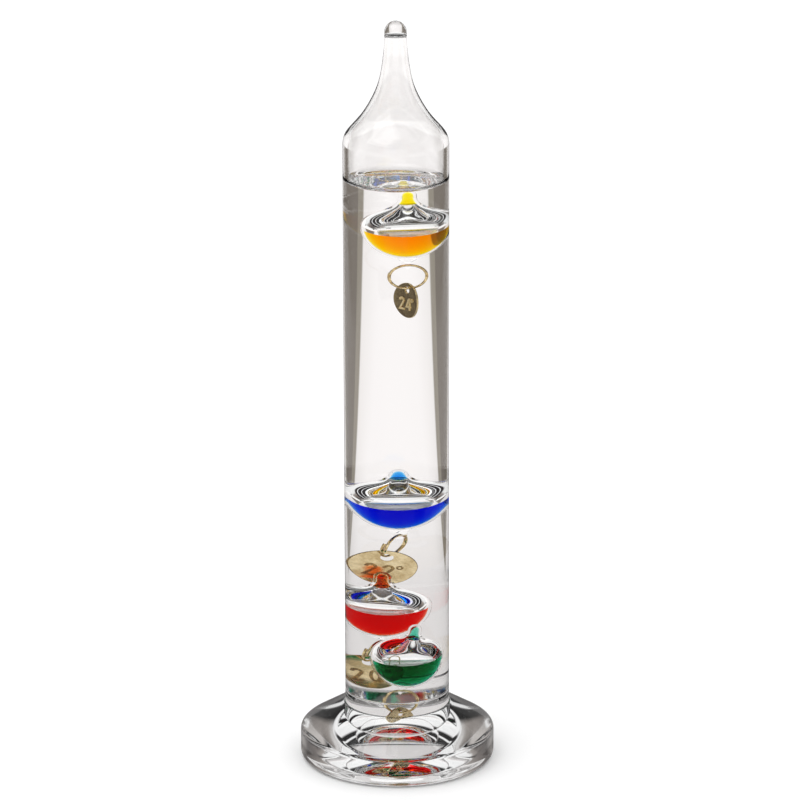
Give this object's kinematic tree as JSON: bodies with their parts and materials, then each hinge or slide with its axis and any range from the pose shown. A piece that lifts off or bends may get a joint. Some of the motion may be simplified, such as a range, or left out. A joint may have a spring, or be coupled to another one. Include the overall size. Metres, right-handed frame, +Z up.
{
  "type": "galileo thermometer",
  "caption": "Sealed glass column of clear liquid on a glass foot, holding hollow glass floats with coloured fills that rise or sink with temperature, each with a ring and stamped tag.",
  "frame": {"origin": "centre of the underside of the foot", "axes": "+Z up along the column towards the sealed tip; -Y is the front"},
  "size_m": [0.0708, 0.0708, 0.2769],
  "materials": {
    "vessel_glass": "gloss",
    "foot_glass": "gloss",
    "adhesive": "gloss",
    "clear_liquid": "gloss",
    "float_glass": "gloss",
    "yellow_fill": "gloss",
    "blue_fill": "gloss",
    "red_fill": "gloss",
    "green_fill": "gloss",
    "ring_wire": "polished",
    "tag_brass": "satin"
  },
  "bodies": {
    "vessel": {"outer_vessel": "vessel_glass", "foot": "foot_glass", "foot_adhesive": "adhesive", "thermometer_liquid": "clear_liquid"},
    "yellow_float": {"yellow_float_glass": "float_glass", "yellow_float_fill": "yellow_fill"},
    "yellow_ring": {"yellow_ring": "ring_wire"},
    "yellow_tag": {"yellow_tag": "tag_brass"},
    "blue_float": {"blue_float_glass": "float_glass", "blue_float_fill": "blue_fill"},
    "blue_ring": {"blue_ring": "ring_wire"},
    "blue_tag": {"blue_tag": "tag_brass"},
    "red_float": {"red_float_glass": "float_glass", "red_float_fill": "red_fill"},
    "red_ring": {"red_ring": "ring_wire"},
    "red_tag": {"red_tag": "tag_brass"},
    "green_float": {"green_float_glass": "float_glass", "green_float_fill": "green_fill"},
    "green_ring": {"green_ring": "ring_wire"},
    "green_tag": {"green_tag": "tag_brass"}
  },
  "joints": [
    {"name": "yellow_float_travel", "type": "slide", "parent": "vessel", "child": "yellow_float", "axis": [0, 0, 1], "range_m": [-0.057, 0.002], "stiffness_N_per_m": 0.5, "springref_m": 0.082, "deforming": ["thermometer_liquid"]},
    {"name": "yellow_ring_swing", "type": "hinge", "parent": "yellow_float", "child": "yellow_ring", "pos_m": [0.0027, 0.0023, 0.18846], "axis": [0.9976, 0.0698, 0], "range_deg": [-40, 35]},
    {"name": "yellow_tag_swing", "type": "hinge", "parent": "yellow_ring", "child": "yellow_tag", "pos_m": [0.00268, 0.00272, 0.17976], "axis": [-0.8829, -0.4695, 0], "range_deg": [-45, 45]},
    {"name": "blue_float_travel", "type": "slide", "parent": "vessel", "child": "blue_float", "axis": [0, 0, 1], "range_m": [0, 0.057], "stiffness_N_per_m": 0.5, "springref_m": 0.0807},
    {"name": "blue_ring_swing", "type": "hinge", "parent": "blue_float", "child": "blue_ring", "pos_m": [0.0004, 0.00751, 0.08529], "axis": [0.4695, 0.8829, 0], "range_deg": [0, 20]},
    {"name": "blue_tag_swing", "type": "hinge", "parent": "blue_ring", "child": "blue_tag", "pos_m": [-0.00182, 0.00869, 0.07695], "axis": [0, -1, 0], "range_deg": [-40, 40]},
    {"name": "red_float_travel", "type": "slide", "parent": "vessel", "child": "red_float", "axis": [0, 0, 1], "range_m": [0, 0.05], "stiffness_N_per_m": 0.5, "springref_m": 0.0877},
    {"name": "red_ring_swing", "type": "hinge", "parent": "red_float", "child": "red_ring", "pos_m": [-0.0034, 0.00646, 0.04436], "axis": [0.5592, 0.829, 0], "range_deg": [-12, 10]},
    {"name": "red_tag_swing", "type": "hinge", "parent": "red_ring", "child": "red_tag", "pos_m": [-0.0056, 0.00795, 0.03606], "axis": [0, -1, 0], "range_deg": [-35, 40]},
    {"name": "green_float_travel", "type": "slide", "parent": "vessel", "child": "green_float", "axis": [0, 0, 1], "range_m": [0, 0.02], "stiffness_N_per_m": 0.5, "springref_m": 0.0875},
    {"name": "green_ring_swing", "type": "hinge", "parent": "green_float", "child": "green_ring", "pos_m": [0.00097, -0.00202, 0.02733], "axis": [0.9994, 0.0349, 0], "range_deg": [-28, 40]},
    {"name": "green_tag_swing", "type": "hinge", "parent": "green_ring", "child": "green_tag", "pos_m": [0.00096, -0.00161, 0.01863], "axis": [0.829, -0.5592, 0], "range_deg": [-30, 30]}
  ],
  "couplings": [
    {"joint": "red_float_travel", "follows": "blue_float_travel", "ratio": 0.868},
    {"joint": "green_float_travel", "follows": "blue_float_travel", "ratio": 0.33}
  ]
}
